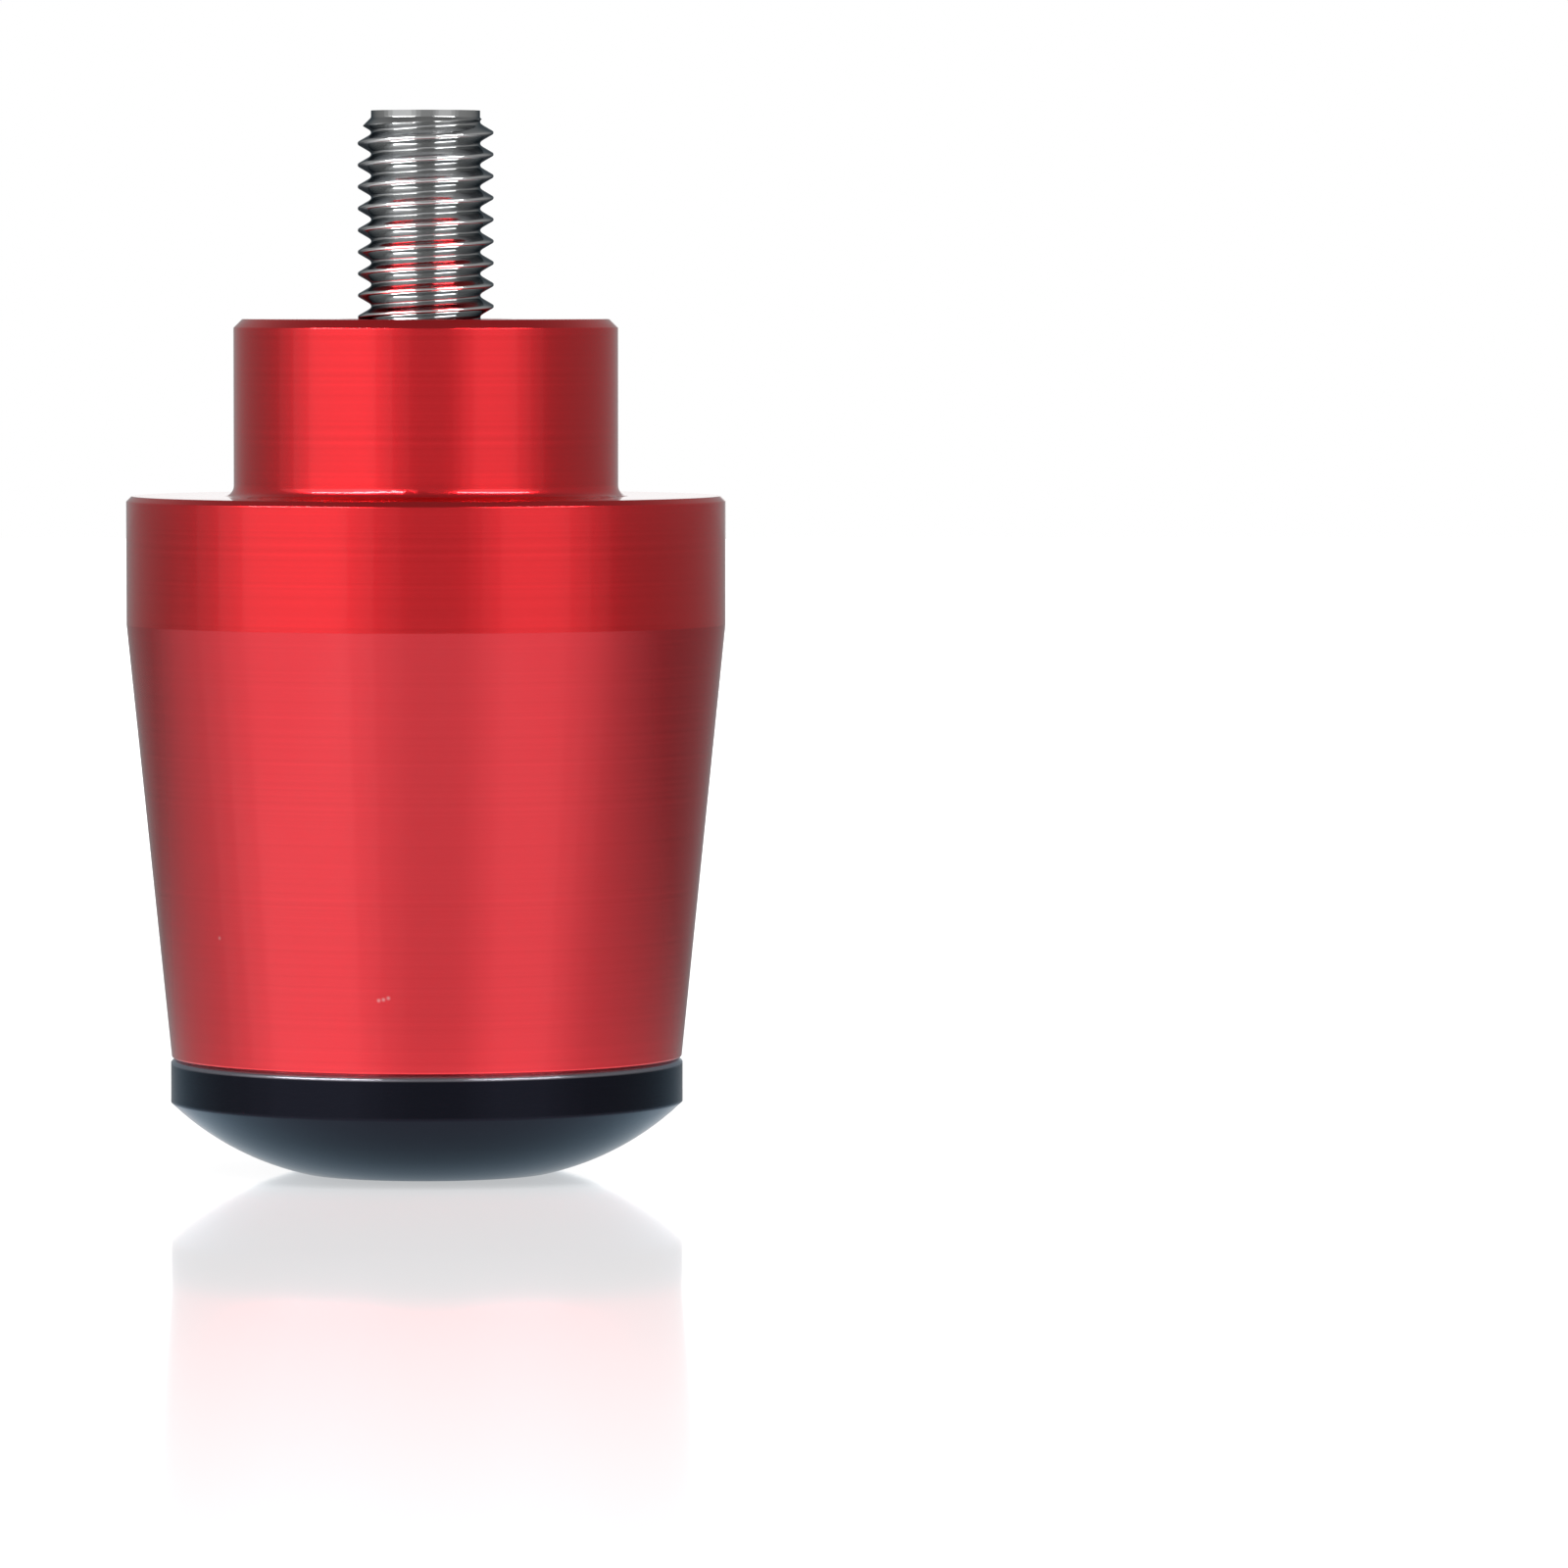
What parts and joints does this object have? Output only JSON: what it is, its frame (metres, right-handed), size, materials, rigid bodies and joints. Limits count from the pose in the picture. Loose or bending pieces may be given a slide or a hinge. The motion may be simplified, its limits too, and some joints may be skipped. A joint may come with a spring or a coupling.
{
  "type": "bar end weight",
  "caption": "Turned red aluminium bar end weight with a dark crowned end cap, held by a socket head screw that stands out of the spigot to thread into a handlebar.",
  "frame": {"origin": "centre of the spigot's end face, which seats on the end of the handlebar", "axes": "+Z along the screw, out of the spigot and into the bar; +X and +Y are free, since the part is turned"},
  "size_m": [0.0346, 0.0346, 0.0613],
  "materials": {
    "red_anodised": "turned and red anodised, satin with fine turning lines",
    "black_anodised": "turned and black anodised, satin",
    "stainless": "bright rolled thread and turned head"
  },
  "bodies": {
    "root": {"body": "red_anodised", "end_cap": "black_anodised", "screw": "stainless"}
  },
  "joints": []
}
